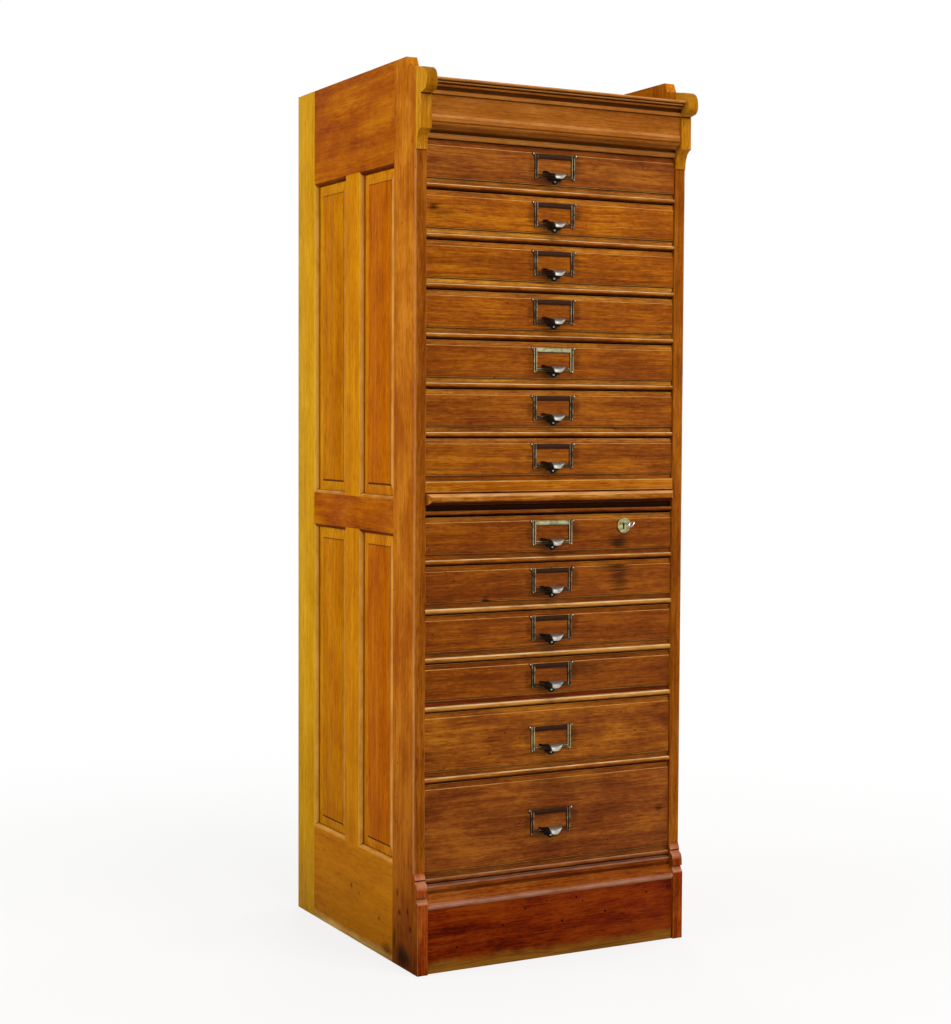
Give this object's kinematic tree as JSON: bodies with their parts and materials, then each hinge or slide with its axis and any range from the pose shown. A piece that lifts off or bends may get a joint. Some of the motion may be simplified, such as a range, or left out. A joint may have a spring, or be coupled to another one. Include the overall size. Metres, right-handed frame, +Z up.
{
  "type": "filing chest of drawers",
  "caption": "Tall oak filing chest of shallow drawers with label-holder pulls, a pull-out writing slide and panelled, bracketed ends.",
  "frame": {"origin": "middle of the chest's footprint on the floor", "axes": "+Z up, +Y from the drawers to the back, +X to the right seen from the front"},
  "size_m": [0.507, 0.5126, 1.46],
  "materials": {
    "golden_oak": "satin shellac over golden oak",
    "brown_oak": "satin shellac over brown oak",
    "drawer_oak": "satin shellac on the fronts, bare wood inside",
    "pale_oak": "bare, dusty",
    "pull_bronze": "oxidised, worn at the edges",
    "lock_brass": "aged",
    "key_steel": "polished, nickelled"
  },
  "bodies": {
    "carcass": {"left_end_frame": "golden_oak", "left_panel_upper_front": "golden_oak", "left_panel_upper_back": "golden_oak", "left_panel_lower_front": "golden_oak", "left_panel_lower_back": "golden_oak", "right_end_frame": "golden_oak", "right_panel_upper_front": "golden_oak", "right_panel_upper_back": "golden_oak", "right_panel_lower_front": "golden_oak", "right_panel_lower_back": "golden_oak", "dust_board_01": "brown_oak", "dust_board_02": "brown_oak", "dust_board_03": "brown_oak", "dust_board_04": "brown_oak", "dust_board_05": "brown_oak", "dust_board_06": "brown_oak", "dust_board_08": "brown_oak", "dust_board_09": "brown_oak", "dust_board_10": "brown_oak", "dust_board_11": "brown_oak", "dust_board_12": "brown_oak", "dust_board_13": "brown_oak", "waist_board": "brown_oak", "slide_bearer_board": "brown_oak", "top_board": "pale_oak", "cornice": "brown_oak", "plinth_board": "brown_oak", "plinth_moulding": "brown_oak", "back_panel": "pale_oak"},
    "drawer_01": {"drawer_01": "drawer_oak", "pull_01": "pull_bronze"},
    "drawer_02": {"drawer_02": "drawer_oak", "pull_02": "pull_bronze"},
    "drawer_03": {"drawer_03": "drawer_oak", "pull_03": "pull_bronze"},
    "drawer_04": {"drawer_04": "drawer_oak", "pull_04": "pull_bronze"},
    "drawer_05": {"drawer_05": "drawer_oak", "pull_05": "pull_bronze"},
    "drawer_06": {"drawer_06": "drawer_oak", "pull_06": "pull_bronze"},
    "drawer_07": {"drawer_07": "drawer_oak", "pull_07": "pull_bronze"},
    "drawer_08": {"drawer_08": "drawer_oak", "pull_08": "pull_bronze", "escutcheon": "lock_brass", "lock_case": "lock_brass"},
    "drawer_09": {"drawer_09": "drawer_oak", "pull_09": "pull_bronze"},
    "drawer_10": {"drawer_10": "drawer_oak", "pull_10": "pull_bronze"},
    "drawer_11": {"drawer_11": "drawer_oak", "pull_11": "pull_bronze"},
    "drawer_12": {"drawer_12": "drawer_oak", "pull_12": "pull_bronze"},
    "drawer_13": {"drawer_13": "drawer_oak", "pull_13": "pull_bronze"},
    "writing_slide": {"writing_slide": "brown_oak"},
    "key": {"key": "key_steel"},
    "lock_bolt": {"lock_bolt": "key_steel"}
  },
  "joints": [
    {"name": "drawer_01_slide", "type": "slide", "parent": "carcass", "child": "drawer_01", "axis": [0, -1, 0], "range_m": [0, 0.36]},
    {"name": "drawer_02_slide", "type": "slide", "parent": "carcass", "child": "drawer_02", "axis": [0, -1, 0], "range_m": [0, 0.36]},
    {"name": "drawer_03_slide", "type": "slide", "parent": "carcass", "child": "drawer_03", "axis": [0, -1, 0], "range_m": [0, 0.36]},
    {"name": "drawer_04_slide", "type": "slide", "parent": "carcass", "child": "drawer_04", "axis": [0, -1, 0], "range_m": [0, 0.36]},
    {"name": "drawer_05_slide", "type": "slide", "parent": "carcass", "child": "drawer_05", "axis": [0, -1, 0], "range_m": [0, 0.36]},
    {"name": "drawer_06_slide", "type": "slide", "parent": "carcass", "child": "drawer_06", "axis": [0, -1, 0], "range_m": [0, 0.36]},
    {"name": "drawer_07_slide", "type": "slide", "parent": "carcass", "child": "drawer_07", "axis": [0, -1, 0], "range_m": [0, 0.36]},
    {"name": "drawer_08_slide", "type": "slide", "parent": "carcass", "child": "drawer_08", "axis": [0, -1, 0], "range_m": [0, 0.36]},
    {"name": "drawer_09_slide", "type": "slide", "parent": "carcass", "child": "drawer_09", "axis": [0, -1, 0], "range_m": [0, 0.36]},
    {"name": "drawer_10_slide", "type": "slide", "parent": "carcass", "child": "drawer_10", "axis": [0, -1, 0], "range_m": [0, 0.36]},
    {"name": "drawer_11_slide", "type": "slide", "parent": "carcass", "child": "drawer_11", "axis": [0, -1, 0], "range_m": [0, 0.36]},
    {"name": "drawer_12_slide", "type": "slide", "parent": "carcass", "child": "drawer_12", "axis": [0, -1, 0], "range_m": [0, 0.36]},
    {"name": "drawer_13_slide", "type": "slide", "parent": "carcass", "child": "drawer_13", "axis": [0, -1, 0], "range_m": [0, 0.36]},
    {"name": "writing_slide_slide", "type": "slide", "parent": "carcass", "child": "writing_slide", "axis": [0, -1, 0], "range_m": [0, 0.3]},
    {"name": "key_turn", "type": "hinge", "parent": "drawer_08", "child": "key", "pos_m": [0.1385, -0.2187, 0.7145], "axis": [0, 1, 0], "range_deg": [0, 190]},
    {"name": "bolt_slide", "type": "slide", "parent": "drawer_08", "child": "lock_bolt", "axis": [0, 0, 1], "range_m": [0, 0.006]}
  ],
  "couplings": [
    {"joint": "key_turn", "follows": "bolt_slide", "rad_per_m": 523.5}
  ]
}
